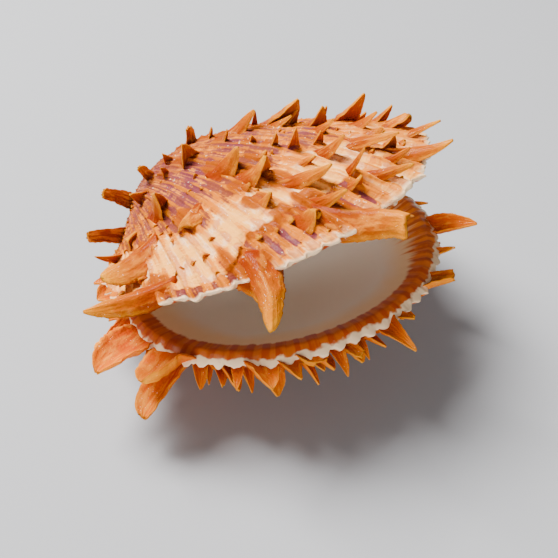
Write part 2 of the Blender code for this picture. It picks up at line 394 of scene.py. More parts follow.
UPPER_SPINES = (
    # Beak and the left flank
    Spine(10.2, 0.25, 12.0, 3.6, 50, -5, Form.BROKEN),
    Spine(11.2, 0.40, 7.0, 3.0, 45, -20),
    Spine(14.2, 0.32, 9.0, 2.5, 40, -20, Form.BROKEN),
    Spine(14.2, 0.42, 6.0, 2.0, 45, -10),
    Spine(16.5, 0.36, 6.0, 2.2, 45, -35),
    Spine(5.8, 0.49, 14.0, 3.3, 45, 10, Form.BROKEN),
    Spine(7.8, 0.64, 4.0, 4.5, 45, 25),
    Spine(5.5, 0.71, 12.0, 2.2, 40, 20),
    Spine(8.5, 0.76, 13.0, 5.4, 42, -60, Form.SCOOP),
    Spine(8.8, 0.94, 18.0, 4.5, 35, -90, Form.BLADE),
    Spine(11.0, 0.59, 9.0, 4.5, 55, 45),
    Spine(11.9, 0.72, 4.8, 4.6, 62, -50, Form.BROKEN, curl=-50),
    # Crest
    Spine(20.8, 0.35, 8.0, 2.8, 40, -35, Form.BROKEN),
    Spine(16.2, 0.46, 8.0, 4.5, 55, -20),
    Spine(20.5, 0.42, 6.0, 1.7, 40, -20),
    Spine(19.0, 0.50, 6.0, 1.7, 45, -10),
    Spine(20.5, 0.49, 10.0, 4.0, 35, 35),
    Spine(24.2, 0.52, 6.0, 1.7, 55, -50),
    Spine(24.2, 0.56, 16.0, 5.0, 25, -35, Form.BLADE),
    Spine(22.2, 0.57, 9.0, 2.8, 25, 5),
    Spine(19.0, 0.59, 4.0, 1.7, 55, -35),
    Spine(15.8, 0.62, 9.0, 5.0, 50, 40),
    Spine(16.0, 0.71, 9.0, 5.0, 55, 20),
    Spine(19.0, 0.65, 6.0, 2.0, 55, -25),
    Spine(19.2, 0.70, 8.0, 2.2, 60, -40),
    Spine(25.2, 0.70, 8.0, 2.8, 40, -45),
    Spine(25.8, 0.78, 13.0, 4.8, 40, -50),
    Spine(26.2, 0.82, 7.0, 2.5, 35, -40),
    Spine(21.5, 0.71, 8.0, 3.0, 40, 0),
    Spine(20.2, 0.74, 6.0, 2.5, 55, -40),
    # Front
    Spine(16.5, 0.78, 13.0, 4.2, 28, 32, Form.BLADE),
    Spine(15.0, 0.71, 5.0, 2.0, 35, 25),
    Spine(14.8, 0.80, 6.0, 3.3, 50, 35),
    Spine(26.8, 0.90, 10.0, 3.3, 40, -50),
    Spine(25.5, 0.90, 9.5, 3.6, 34, -20, Form.TONGUE),
    Spine(24.0, 0.94, 11.0, 2.8, 35, 5),
    Spine(20.8, 0.79, 16.0, 3.8, 25, 0),
    Spine(19.2, 0.78, 9.0, 3.3, 50, 10),
    Spine(21.5, 0.90, 7.0, 3.0, 55, -55),
    Spine(21.0, 0.92, 15.0, 5.0, 30, 10),
    Spine(20.2, 0.91, 8.0, 2.2, 40, 25),
    Spine(18.8, 0.90, 12.0, 3.3, 25, 30),
    Spine(18.5, 0.87, 10.0, 2.0, 65, 0),
    Spine(17.8, 0.91, 6.0, 2.5, 65, 0),
    Spine(16.2, 0.88, 11.0, 3.3, 40, 20),
    Spine(16.2, 0.93, 18.0, 7.4, 17, 20, Form.BROKEN),
    Spine(15.5, 0.92, 4.0, 4.5, 70, 25),
    Spine(15.7, 0.90, 3.6, 3.0, 30, 10),
    Spine(14.9, 0.87, 4.4, 2.8, 32, 0),
    Spine(14.2, 0.88, 3.2, 2.0, 32, 0),
    Spine(13.5, 0.87, 4.0, 2.4, 32, 0),
    Spine(12.5, 0.955, 17.5, 6.2, 24, -18, Form.CLAW, curl=-60, bow=1.5),
    Spine(23.2, 0.62, 7.0, 3.2, 45, -20),
    Spine(22.6, 0.70, 8.0, 3.4, 50, -30, curl=30),
    Spine(23.8, 0.80, 9.0, 3.6, 38, -15),
    Spine(22.4, 0.84, 6.0, 3.0, 40, 10),
    Spine(17.4, 0.66, 5.0, 2.2, 45, 10),
    Spine(18.0, 0.76, 6.0, 2.6, 40, 15),
    # Right flank
    Spine(28.5, 0.62, 10.0, 3.0, 40, -10),
    Spine(29.5, 0.85, 11.0, 3.5, 35, 0),
    Spine(30.5, 0.42, 7.0, 2.5, 45, 0),
    Spine(31.5, 0.95, 12.0, 4.0, 30, -10, Form.BLADE),
    Spine(32.5, 0.70, 9.0, 3.0, 40, 10),
    Spine(34.0, 0.90, 10.0, 3.5, 35, 10),
    Spine(36.0, 0.75, 8.0, 2.8, 40, 0),
)

LOWER_SPINES = (
    # Left end
    Spine(1.6, 0.96, 8.0, 3.5, 35, -60),
    Spine(2.5, 0.95, 8.0, 6.5, 25, -25, Form.BLADE),
    Spine(4.3, 0.96, 6.0, 3.0, 25, -35),
    Spine(5.1, 0.97, 12.0, 4.0, 25, -20),
    Spine(6.2, 0.96, 16.5, 7.5, 30, -28, Form.SCOOP),
    Spine(7.0, 0.92, 8.0, 2.5, 40, -10),
    Spine(5.6, 0.90, 9.0, 3.6, 40, -15, Form.BLADE),
    Spine(3.4, 0.90, 9.0, 3.6, 35, -20, Form.BLADE),
    Spine(8.2, 0.97, 12.5, 8.6, 30, -42, Form.SCOOP),
    Spine(8.6, 0.93, 18.0, 4.6, 45, -50, Form.TONGUE, curl=40),
    # Under the front margin
    Spine(9.7, 0.90, 8.0, 2.2, 40, 5, curl=20),
    Spine(10.2, 0.90, 10.0, 2.8, 40, 0, curl=-25),
    Spine(10.9, 0.96, 8.0, 2.8, 40, -20, curl=30),
    Spine(11.7, 0.97, 10.0, 5.5, 40, 0, Form.BLADE, curl=-20),
    Spine(12.2, 0.90, 6.0, 2.2, 40, 15, curl=25),
    Spine(12.7, 0.97, 9.0, 4.0, 40, 0, curl=-30),
    Spine(13.2, 0.90, 8.0, 2.0, 40, 10, curl=20),
    Spine(13.7, 0.97, 4.0, 6.5, 40, -10, Form.BROKEN),
    Spine(14.2, 0.91, 8.0, 2.0, 40, 10, curl=-20),
    Spine(14.7, 0.97, 9.0, 3.0, 45, -20, curl=30),
    Spine(15.1, 0.96, 8.0, 2.8, 40, 0, Form.BROKEN, curl=-20),
    Spine(15.8, 0.96, 8.0, 2.2, 40, -25, curl=25),
    Spine(16.9, 0.97, 13.0, 4.0, 30, -15, curl=20),
    Spine(17.5, 0.97, 8.0, 2.2, 20, 0),
    Spine(9.3, 0.93, 8.0, 3.2, 50, 10, Form.BLADE, curl=25),
    Spine(10.5, 0.94, 9.0, 3.6, 50, 15, Form.BLADE, curl=-25),
    Spine(11.3, 0.93, 8.0, 3.0, 55, 10, curl=25),
    Spine(12.0, 0.93, 10.0, 4.2, 50, 20, Form.BLADE, curl=30),
    Spine(12.9, 0.93, 8.0, 3.6, 50, 10, Form.BLADE, curl=-25),
    Spine(13.5, 0.93, 9.0, 3.0, 50, 25, curl=25),
    Spine(14.1, 0.94, 8.0, 3.6, 50, 15, Form.BLADE, curl=-25),
    Spine(14.9, 0.93, 8.0, 3.0, 50, 15, curl=25),
    Spine(15.5, 0.93, 8.0, 3.6, 50, 20, Form.BLADE, curl=30),
    Spine(16.4, 0.93, 8.0, 3.0, 50, 15, curl=-20),
    Spine(17.2, 0.93, 8.0, 3.2, 45, 20, Form.BLADE, curl=25),
    # Behind them, further under
    Spine(9.2, 0.85, 8.0, 2.6, 45, 10),
    Spine(10.6, 0.84, 9.0, 3.0, 45, -5),
    Spine(11.4, 0.86, 8.0, 2.4, 50, 10, Form.BLADE),
    Spine(12.6, 0.84, 9.0, 3.4, 45, 0, Form.BLADE),
    Spine(13.7, 0.85, 8.0, 2.6, 50, -10),
    Spine(14.6, 0.84, 9.0, 3.0, 45, 5, Form.BLADE),
    Spine(15.5, 0.87, 8.0, 2.4, 50, -5),
    Spine(16.3, 0.86, 8.0, 3.0, 50, 0, Form.BLADE),
    Spine(17.2, 0.88, 7.0, 2.4, 45, -10),
    Spine(18.4, 0.93, 7.0, 2.6, 40, 10),
    Spine(18.9, 0.88, 7.0, 3.0, 45, -5, Form.BLADE),
    Spine(10.0, 0.80, 8.0, 3.0, 50, 0, Form.BLADE),
    Spine(11.2, 0.79, 8.0, 2.6, 50, 10),
    Spine(12.0, 0.81, 8.0, 3.0, 50, -10),
    Spine(13.2, 0.80, 8.0, 3.2, 50, 5, Form.BLADE),
    Spine(14.2, 0.79, 8.0, 2.6, 50, -5),
    Spine(15.3, 0.81, 8.0, 3.0, 50, 0, Form.BLADE),
    # Right end
    Spine(19.7, 0.97, 10.0, 4.5, 20, 25, Form.BROKEN),
    Spine(22.0, 0.97, 8.0, 2.0, 20, 15),
    Spine(22.9, 0.97, 4.0, 1.7, 20, 0),
    Spine(24.1, 0.97, 15.0, 5.0, 20, -10, Form.BLADE),
    Spine(26.5, 0.96, 8.0, 3.0, 30, 0),
    Spine(28.5, 0.96, 11.0, 5.0, 30, 0, Form.BLADE),
    Spine(31.0, 0.95, 10.0, 4.5, 35, 10),
    Spine(33.5, 0.95, 9.0, 5.0, 30, 20, Form.BLADE),
    Spine(36.0, 0.95, 8.0, 3.5, 30, 40),
    # Underside
    Spine(6.5, 0.70, 8.0, 6.0, 45, 0, Form.BLADE),
    Spine(11.5, 0.74, 9.0, 6.0, 40, 0, Form.BLADE),
    Spine(16.5, 0.76, 9.0, 5.0, 40, 0),
    Spine(21.0, 0.78, 9.0, 5.0, 40, 0, Form.BLADE),
    Spine(26.0, 0.74, 9.0, 5.0, 45, 0),
    Spine(31.5, 0.70, 8.0, 5.0, 45, 0, Form.BLADE),
)


class GrowthRule:
    """The growth rule as a node group that both the valves and their spines use."""

    SIZES = ("scale", "coil", "setback", "lean", "lip", "side")

    def __init__(self) -> None:
        """Wire the group."""
        bench = GeometryBench("growth_rule", stations=STATIONS, e=math.e)
        bench.inlet(NUMBER, "station", "hinge", "growth", *self.SIZES)
        curve = self._outline(bench)
        shares = {"first": 0.0, "last": 1.0, "here": bench.calc("station / stations")}
        for name, share in shares.items():
            made = bench.add("GeometryNodeSampleCurve", {"Curves": curve, "Factor": share},
                             mode="FACTOR")
            bench.wires[name] = made.outputs["Position"]
        bench.let("""
            margin = here + (first - last) * hinge
            angle = 0 - coil * log(growth, e)
            reach = growth * (y(margin) * scale + setback)
            place = vec(growth * x(margin) * scale + (1 - growth) * lean,
                        reach * cos(angle) - setback, side * (reach * sin(angle) + lip))
            """)
        bench.outlet(VECTOR, "Place", bench.wires["place"])
        bench.outlet(VECTOR, "Margin", bench.wires["margin"])
        self.tree = bench.tree

    @staticmethod
    def _outline(bench: GeometryBench) -> bpy.types.NodeSocket:
        """Wire the margin's outline as a curve, from one end of the hinge to the other.

        Args:
            bench: The tree to wire it in.

        Returns:
            The curve.
        """
        line = bench.add("GeometryNodeMeshLine", {"Count": OUTLINE_POINTS}).outputs[0]
        cut = 1 - 2 * HINGE_CUT
        start = math.acos(cut ** (OVAL_POWER / 2))
        bench.wires.update(
            index=bench.add("GeometryNodeInputIndex").outputs[0], start=start, cut=cut,
            step=(math.tau - 2 * start) / (OUTLINE_POINTS - 1), power=2 / OVAL_POWER,
            half_width=OVAL_WIDTH / 2, half=OVAL_LENGTH / 2)
        bench.let("""
            turn = start + index * step
            spot = vec(sign(sin(turn)) * pow(abs(sin(turn)), power) * half_width,
                       half * cut - sign(cos(turn)) * pow(abs(cos(turn)), power) * half, 0)
            """)
        laid = bench.add("GeometryNodeSetPosition",
                         {"Geometry": line, "Position": bench.wires["spot"]})
        return bench.add("GeometryNodeMeshToCurve", {0: laid.outputs[0]}).outputs[0]

    def at(self, bench: GeometryBench, **place: Wire) -> bpy.types.Node:
        """Use the group in another tree, with that tree's sizes.

        Args:
            bench: The tree to add it to.
            **place: station, hinge and growth.

        Returns:
            The group's node, with the outputs Place and Margin.
        """
        sizes = {name: bench.wires[name] for name in self.SIZES}
        return bench.add("GeometryNodeGroup", {**sizes, **place}, node_tree=self.tree)

    def frame(self, bench: GeometryBench) -> None:
        """Wire a surface point as here, with its three directions ahead, beside and out.

        The directions come from points a little further on and a little to both sides.

        Args:
            bench: The tree to wire them in, which knows the point's station and growth.
        """
        for name, station, growth in (
            ("here", "station", "growth"),
            ("after", "station", "growth + 0.01"),
            ("high", "min(station + 0.1, stations)", "growth"),
            ("low", "max(station - 0.1, 0)", "growth"),
        ):
            made = self.at(bench, station=bench.calc(station), growth=bench.calc(growth))
            bench.wires[name] = made.outputs["Place"]
        bench.let("""
            ahead = unit(after - here)
            out = unit(cross(ahead, high - low)) * side
            beside = cross(out, ahead) * side
            """)


class ValveSurface:
    """The tree that grows a valve: folded outside, crimped lip and smooth hollow."""

    COLUMNS = MARGIN_COLUMNS + HINGE_COLUMNS
    SIZES = ("fold_height", "depth", "scallop", "staged")

    def __init__(self, rule: GrowthRule) -> None:
        """Wire the tree.

        Args:
            rule: The growth rule that its points follow.
        """
        self.rule = rule
        self.bench = bench = GeometryBench(
            "valve_surface", stations=STATIONS, folds=float(FOLDS), fold_fade=FOLD_FADE,
            columns=float(self.COLUMNS), margin_columns=float(MARGIN_COLUMNS),
            hinge_columns=float(HINGE_COLUMNS), beak=BEAK_GROWTH, outside=OUTSIDE_SHARE,
            lip_row=LIP_SHARE, dressed=DRESSED_SHARE, centre=CAVITY_CENTRE * OVAL_LENGTH,
            shrink=CAVITY_SCALE, plate=HINGE_PLATE, half_width=OVAL_WIDTH / 2,
            front=OVAL_LENGTH * (1 - HINGE_CUT), lump_scale=1 / LUMP_SIZE)
        bench.inlet(MESH, "points")
        bench.inlet(NUMBER, *rule.SIZES, *self.SIZES)
        bench.inlet(FINISH, "outer_finish", "inner_finish")
        bench.outlet(MESH, "sheet", self._dress(self._relief(self._base())))
        self.tree = bench.tree

    def _base(self) -> bpy.types.NodeSocket:
        """Wire the smooth valve, which keeps each point's place in the growth.

        Returns:
            The sheet, closed at the beak.
        """
        bench = self.bench
        sheet = bench.add(
            "GeometryNodeMeshGrid",
            {"Size X": 1.0, "Size Y": 1.0, "Vertices X": self.COLUMNS + 1, "Vertices Y": ROWS},
        ).outputs[0]
        bench.let("""
            column = (x(position) + 0.5) * columns
            station = min(column / margin_columns, 1) * stations
            hinge = max(column - margin_columns, 0) / hinge_columns
            row = y(position) + 0.5
            growth = min(beak + (1 - beak) * row / outside, 1)
            inward = max(row - lip_row, 0) / (1 - lip_row)
            # Distance in from the rim, in millimetres
            inset = (max(min((row - outside) / (lip_row - outside), 1), 0) * 2.9
                     + max(row - lip_row, 0) / (1 - lip_row) * 36)
            """)
        sheet = bench.keep(sheet, "station", "hinge", "row", "growth", "inward", "inset")
        self._halo()
        # How far past the edge of the last growth stage, which climbs towards the left
        bench.let("""
            stage = (growth - 0.865 - 0.09 * smooth(station, 13.4, 11.4)
                     - 0.02 * smooth(station, 16, 19) - 0.3 * smooth(station, 20, 23))
            """)
        sheet = bench.keep(sheet, "halo", "stage")
        self._smooth_place()
        sheet = bench.add("GeometryNodeSetPosition",
                          {"Geometry": sheet, "Position": bench.wires["place"]}).outputs[0]
        return bench.add("GeometryNodeMergeByDistance",
                         {"Geometry": sheet, "Distance": WALL_WELD}).outputs[0]

    def _halo(self) -> None:
        """Wire how near a point is to the root of a spine, from 0 to 1."""
        bench = self.bench
        # The surface laid out flat, about 3 mm to the unit
        bench.let("chart = vec(station * 2.3, growth * 30, 0)")
        chart = bench.wires["chart"]
        spread = bench.add("GeometryNodeSetPosition",
                           {"Geometry": bench.wires["points"], "Position": chart}).outputs[0]
        nearest = bench.add("GeometryNodeSampleNearest",
                            {"Geometry": spread, "Sample Position": chart},
                            domain="POINT").outputs[0]
        for name in ("station", "growth", "width"):
            inputs = {"Geometry": spread, "Value": bench.wire(name), "Index": nearest}
            made = bench.add("GeometryNodeSampleIndex", inputs, data_type="FLOAT",
                             domain="POINT")
            bench.wires[f"root_{name}"] = made.outputs[0]
        bench.let("""
            away = length(chart - vec(root_station * 2.3,
                                      root_growth * 30 - root_width * 0.15, 0))
            halo = 1 - smooth(away / (0.62 * root_width + 0.6), 0.25, 0.9)
            """)

    def _smooth_place(self) -> None:
        """Wire where a point lies on the smooth valve."""
        bench = self.bench
        here = {name: bench.wires[name] for name in ("station", "hinge", "growth")}
        grown = self.rule.at(bench, **here)
        pole = self.rule.at(bench, station=STATIONS / 2, growth=BEAK_GROWTH * 0.5)
        bench.wires.update(margin=grown.outputs["Margin"], skin=grown.outputs["Place"],
                           pole=pole.outputs["Place"])
        bench.let("""
            across = x(margin)
            edge = max(centre + (y(margin) * scale - centre) * shrink, plate)
            fall = inward * (0.45 + inward * (2 - 1.45 * inward))
            # The hollow's outline has corners by the hinge, which round off into an oval
            # further in
            square = vec(across * shrink * scale, edge - centre, 0)
            span = (plate - centre + above(edge, centre)
                    * ((front * scale - centre) * shrink + centre - plate))
            excess = max(length(vec(across / half_width, (edge - centre) / abs(span), 0)), 0.01)
            outline = square * ((1 + (1 / excess - 1) * smooth(inward, 0, 0.4)) * (1 - inward))
            hollow = outline + vec(0, centre, side * depth * fall)
            # The lip rounds over from the outside to the hollow's edge
            over = smooth(row, outside, lip_row)
            bulge = vec(0, 0, 0 - side * 0.3 * sin(over * tau / 2))
            # The first row is drawn together at the beak
            shell = skin + (pole - skin) * below(row, 0.001)
            place = shell + (hollow - shell) * over + bulge
            """)

    def _relief(self, sheet: bpy.types.NodeSocket) -> bpy.types.NodeSocket:
        """Wire folds, riblets, growth lines and lumps onto the smooth valve.

        Args:
            sheet: The smooth valve.

        Returns:
            The same sheet with its relief.
        """
        bench = self.bench
        self.rule.frame(bench)
        bench.let("""
            fold = station / stations * folds
            fade = min(min(fold, folds - fold), fold_fade) / fold_fade
            # Lumps 14 mm and knobs 4 mm across
            lumps = noise(position, lump_scale, 2)
            knobs = noise(position, 0.28, 2)
            # Fine striae run along the ribs
            grain = noise(vec(station * 5.5, growth * 14, 0), 1, 2)
            # Each fold has a height and reach of its own
            own = ripple(fold * 0.9, 1, 0)
            wave = cos(fold * tau)
            fine = cos(fold * 3 * tau + lumps * 5)
            outer = 1 - smooth(row, outside, lip_row)
            rim = smooth(growth, 0.93, 1) * (1 - smooth(inset, 0, 3))
            # Growth lines are small overlapping steps, a little over a millimetre apart
            line = fract(growth * 46 + lumps * 3 + own * 0.8)
            step = fract(growth * 6.5 + lumps * 0.8 + own * 0.3)
            calm = 1 - 0.75 * smooth(inset, 0, 3) - 0.25 * smooth(inset, 2, 9)
            crest = (1.2 * fold_height * growth * (wave + 0.25 * wave * wave)
                     * (0.45 + 1.1 * own) * (0.65 + 0.35 * smooth(growth, 0.8, 1)
                                             + 0.5 * smooth(growth, 0.93, 1))
                     + 0.10 * growth * fine * outer)
            # Some ribs carry a row of beads about 1.5 mm apart
            beads = (outer * fade * smooth(cos(growth * 260 + own * 60), 0, 1)
                     * smooth(wave, 0.2, 0.9) * smooth(own, 0.52, 0.62)
                     * (1 - smooth(growth, 0.86, 0.94)))
            # The older stage ends in a free edge, highest beside the long front spine
            ledge = (staged * below(stage + 0.03 * (knobs - 0.5) - 0.006 * wave, 0) * outer
                     * smooth(station, 10.8, 12.2) * (1 - smooth(station, 18, 20))
                     * (0.25 + 0.45 * smooth(station, 13.3, 12.9)))
            rise = (ledge * smooth(stage, -0.09, -0.01) + fade * calm * crest
                    + outer * fade * (0.07 * line + 0.26 * step * step * growth)
                    + outer * (0.9 * (lumps - 0.5) + 0.22 * (grain - 0.5)
                               + 0.45 * (knobs - 0.5))
                    + outer * 0.6 * halo * halo + 0.3 * beads)
            right = smooth(station, 15.5, 18)
            reach = (scallop * rim * fade * (wave * (0.2 + 1.5 * own) * (1 - 0.6 * right)
                                             + (4 + 3 * right) * (knobs - 0.5)
                                             + (1 + 2 * right) * (grain - 0.5))
                     + 0.9 * ledge * smooth(stage, -0.03, 0))
            shift = out * rise + ahead * reach
            """)
        return bench.add("GeometryNodeSetPosition",
                         {"Geometry": sheet, "Offset": bench.wires["shift"]}).outputs[0]

    def _dress(self, sheet: bpy.types.NodeSocket) -> bpy.types.NodeSocket:
        """Wire the materials: one for the folded outside, one for the lip and hollow.

        Args:
            sheet: The valve.

        Returns:
            The dressed valve.
        """
        bench = self.bench
        inner = bench.calc("above(row, dressed)")
        for finish, chosen in (("outer_finish", True), ("inner_finish", inner)):
            inputs = {"Geometry": sheet, "Selection": chosen, "Material": bench.wires[finish]}
            sheet = bench.add("GeometryNodeSetMaterial", inputs).outputs[0]
        return bench.add("GeometryNodeRealizeInstances", {"Geometry": sheet}).outputs[0]


class SpineGrowth:
    """The tree that grows a guttered spine on every point it is given."""

    NUMBERS = ("station", "growth", "length", "width", "lift", "swing", "curl", "belly",
               "blunt", "taper", "flare", "round", "bow")

    def __init__(self, rule: GrowthRule) -> None:
        """Wire the tree.

        Args:
            rule: The growth rule of the valve that the spines stand on.
        """
        self.bench = bench = GeometryBench("spine_growth", stations=STATIONS)
        bench.inlet(MESH, "points")
        bench.inlet(NUMBER, *rule.SIZES)
        bench.inlet(WHOLE, "columns", "rows", "seed")
        bench.inlet(FINISH, "finish")
        rule.frame(bench)
        chance = bench.add("FunctionNodeRandomValue", {"Seed": bench.wires["seed"]},
                           data_type="FLOAT")
        bench.wires["chance"] = chance.outputs[1]
        points = bench.keep(bench.wires["points"], "here", "ahead", "beside", "out",
                            kind="FLOAT_VECTOR")
        points = bench.keep(points, "chance")
        made = bench.add("GeometryNodeInstanceOnPoints",
                         {"Points": points, "Instance": self._blank()}).outputs[0]
        made = bench.add("GeometryNodeRealizeInstances", {"Geometry": made}).outputs[0]
        self._place()
        for kind, inputs in (
            ("GeometryNodeSetPosition", {"Position": bench.wires["place"]}),
            ("GeometryNodeMergeByDistance", {"Distance": SPINE_WELD}),
            ("GeometryNodeSetMaterial", {"Material": bench.wires["finish"]}),
        ):
            made = bench.add(kind, {"Geometry": made, **inputs}).outputs[0]
        bench.outlet(MESH, "spines", made)
        self.tree = bench.tree

    def _blank(self) -> bpy.types.NodeSocket:
        """Wire the flat sheet that each spine is rolled from.

        Returns:
            The sheet, which keeps each point's place around the spine and along it.
        """
        bench = self.bench
        inputs = {"Size X": 1.0, "Size Y": 1.0, "Vertices X": bench.wires["columns"],
                  "Vertices Y": bench.wires["rows"]}
        blank = bench.add("GeometryNodeMeshGrid", inputs).outputs[0]
        bench.let("""
            around = x(position) + 0.5
            run = y(position) + 0.5
            """)
        return bench.keep(blank, "around", "run")

    def _place(self) -> None:
        """Wire where a point of a spine lies."""
        self.bench.let("""
            angle = around * tau
            sideways = cos(angle)
            # The last row closes the tip, and the first one the sunk root. Broken ends are
            # ragged, but the last row is one point, half as deep as the jags
            rag = noise(vec(cos(angle) * 2, sin(angle) * 2, chance * 60), 1.6, 2)
            jag = 0.5 + (smooth(rag, 0.35, 0.65) - 0.5) * below(run, 0.999)
            t = min(run / 0.97, 1) * (1 - min(1.6 / length, 0.3) * blunt * run * jag)
            close = min((1 - run) / 0.028, 1) * above(run, 0.001)
            heading = ahead * cos(swing) + beside * sin(swing)
            flank = beside * cos(swing) - ahead * sin(swing)
            bend = curl + 0.001
            turn = lift + bend * t
            level = length * (sin(turn) - sin(lift)) / bend
            climb = length * (cos(lift) - cos(turn)) / bend
            root = exp(0 - t * length / (0.65 * width))
            sway = 0.05 * width * sin(t * 6 + chance * 25) * t
            sink = min(length * 0.18, 1)
            spot = (here + heading * (level - sink) + out * (climb - sink + sway)
                    + flank * (length * 0.06 * t * t * (chance - 0.5) + sway
                               + bow * 4 * t * (1 - t)))
            back = out * cos(turn) - heading * sin(turn)
            frill = noise(vec(sideways * 1.5, t * length * 0.35, chance * 40), 1, 3)
            nick = noise(vec(sideways * 3, t * length * 1.1, chance * 40), 1, 3)
            outline = ((pow(1 - t, taper) * (1 + belly * t) + blunt * t) * (1 + flare * root)
                       * pow(1.001 - round * pow(max(t - 0.8, 0) / 0.2, 2), 0.5)
                       * (0.72 + 0.56 * frill + 0.3 * (nick - 0.5) * sideways * sideways))
            half = width * 0.6 * outline * close
            # Fine ridges run along the back, which is highest a little to one side
            ridges = cos(angle * 7 + frill * 4) * max(sin(angle), 0)
            thick = (close * (0.14 * half + 0.24) * sin(angle)
                     + close * root * 0.14 * width * max(sin(angle), 0)
                     * (1 - 0.6 * sideways * sideways) + close * (0.07 * half + 0.05) * ridges)
            tilt = sideways + 0.7 * (chance - 0.5)
            roof = (thick - half * (0.86 - 0.80 * root) * tilt * tilt
                    / (1 + abs(0.7 * (chance - 0.5)))
                    + half * 0.7 * (frill - 0.5) * sideways * sideways)
            # Behind, the root runs out along its rib
            skirt = (close * root * min(width, 5) * (1 - 0.7 * flare) * max(sin(angle), 0)
                     * (1 - 0.6 * sideways * sideways))
            place = spot + flank * (half * sideways) + back * roof - heading * skirt
            """)


class ScaleRows:
    """The tree that scatters small scales along the ribs, ready to be grown as spines."""

    def __init__(self) -> None:
        """Wire the tree."""
        bench = GeometryBench("scale_rows", folds=float(FOLDS), stations=STATIONS)
        bench.inlet(WHOLE, "rows", "seed")
        bench.inlet(NUMBER, "first", "share", "longest")
        inputs = {"Size X": 1.0, "Size Y": 1.0, "Vertices X": FOLDS - 3,
                  "Vertices Y": bench.wires["rows"]}
        grid = bench.add("GeometryNodeMeshGrid", inputs).outputs[0]
        for turn, name in enumerate("abcde"):
            made = bench.add("FunctionNodeRandomValue",
                             {"Seed": bench.calc(f"seed * 7 + {turn}")}, data_type="FLOAT")
            bench.wires[name] = made.outputs[1]
        bench.let("""
            station = (2 + (x(position) + 0.5) * (folds - 4) + (b - 0.5) * 0.2) / folds * stations
            growth = first + (0.97 - first) * min(max(y(position) + 0.5 + (c - 0.5) * 0.12, 0), 1)
            # More of them stand on the two flanks than on the front
            gone = above(a, share * (0.55 + 0.9 * smooth(abs(station - 16.5), 3.5, 7)))
            length = longest * growth * (0.35 + 0.65 * d * d)
            width = longest * growth * (0.35 + 0.30 * e)
            lift = 0.6 + 0.6 * e
            swing = (b - 0.5) * 1.2
            curl = (c - 0.3) * 0.8
            belly = 0.4
            blunt = 0.25 * d
            taper = 0.9
            flare = 0.7
            round = 0
            bow = 0
            """)
        gone = bench.wires["gone"]
        grid = bench.keep(grid, *SpineGrowth.NUMBERS)
        grid = bench.add("GeometryNodeDeleteGeometry", {"Geometry": grid, "Selection": gone})
        bench.outlet(MESH, "points", grid.outputs[0])
        self.tree = bench.tree


def set_inputs(modifier: bpy.types.NodesModifier, values: dict[str, object]) -> None:
    """Set a modifier's inputs by the identifiers of its named sockets.

    Args:
        modifier: The Geometry Nodes modifier.
        values: Input name to value.
    """
    for item in modifier.node_group.interface.items_tree:
        if item.item_type == "SOCKET" and item.in_out == "INPUT" and item.name in values:
            modifier[item.identifier] = values[item.name]


def stand_on_floor(work: bmesh.types.BMesh) -> None:
    """Cut off what reaches below the floor and close the cut.

    Args:
        work: The mesh to cut, in metres.
    """
    parts = [*work.verts, *work.edges, *work.faces]
    cut = bmesh.ops.bisect_plane(work, geom=parts, plane_co=(0, 0, FLOOR_GAP),
                                 plane_no=(0, 0, 1), clear_inner=True)
    rims = [part for part in cut["geom_cut"] if isinstance(part, bmesh.types.BMEdge)]
    caps = bmesh.ops.holes_fill(work, edges=rims, sides=0)["faces"]
    bmesh.ops.triangulate(work, faces=caps)


def tidy_parts(work: bmesh.types.BMesh, least: int = 30) -> None:
    """Delete loose bits of a few faces, and turn every part's faces outwards.

    Args:
        work: The mesh to clean.
        least: Faces that a part needs to stay.
    """
    bmesh.ops.recalc_face_normals(work, faces=work.faces)
    left = set(work.faces)
    crumbs = []
    while left:
        part = {left.pop()}
        edge = list(part)
        while edge:
            near = {other for side in edge.pop().edges for other in side.link_faces} & left
            left -= near
            part |= near
            edge.extend(near)
        if len(part) < least:
            crumbs.extend(part)
        elif sum(face.calc_center_median().dot(face.normal) * face.calc_area()
                 for face in part) < 0:
            bmesh.ops.reverse_faces(work, faces=list(part))
    bmesh.ops.delete(work, geom=crumbs, context="FACES")


def settle(name: str, start: bpy.types.Mesh,
           growths: list[tuple[bpy.types.NodeTree, dict[str, object]]],
           place: Matrix) -> bpy.types.Object:
    """Grow a mesh with one or more trees and keep the result as a plain mesh.

    Args:
        name: Name of the finished piece.
        start: The mesh that the first tree starts from.
        growths: Each tree with its input names and values.
        place: Where the piece's own frame stands, in metres.

    Returns:
        The finished piece, at the origin.
    """
    seed = bpy.data.objects.new(f"{name}_start", start)
    bpy.context.collection.objects.link(seed)
    for tree, values in growths:
        modifier = seed.modifiers.new("growth", "NODES")
        modifier.node_group = tree
        set_inputs(modifier, values)
    grown = seed.evaluated_get(bpy.context.evaluated_depsgraph_get())
    mesh = bpy.data.meshes.new_from_object(grown)
    seed.modifiers.clear()
    bpy.data.objects.remove(seed)
    mesh.name = name
    mesh.transform(place)
    work = bmesh.new()
    work.from_mesh(mesh)
    bmesh.ops.dissolve_degenerate(work, dist=SLIVER, edges=work.edges)
    stand_on_floor(work)
    tidy_parts(work)
    work.to_mesh(mesh)
    work.free()
    mesh.shade_smooth()
    piece = bpy.data.objects.new(name, mesh)
    bpy.context.collection.objects.link(piece)
    return piece


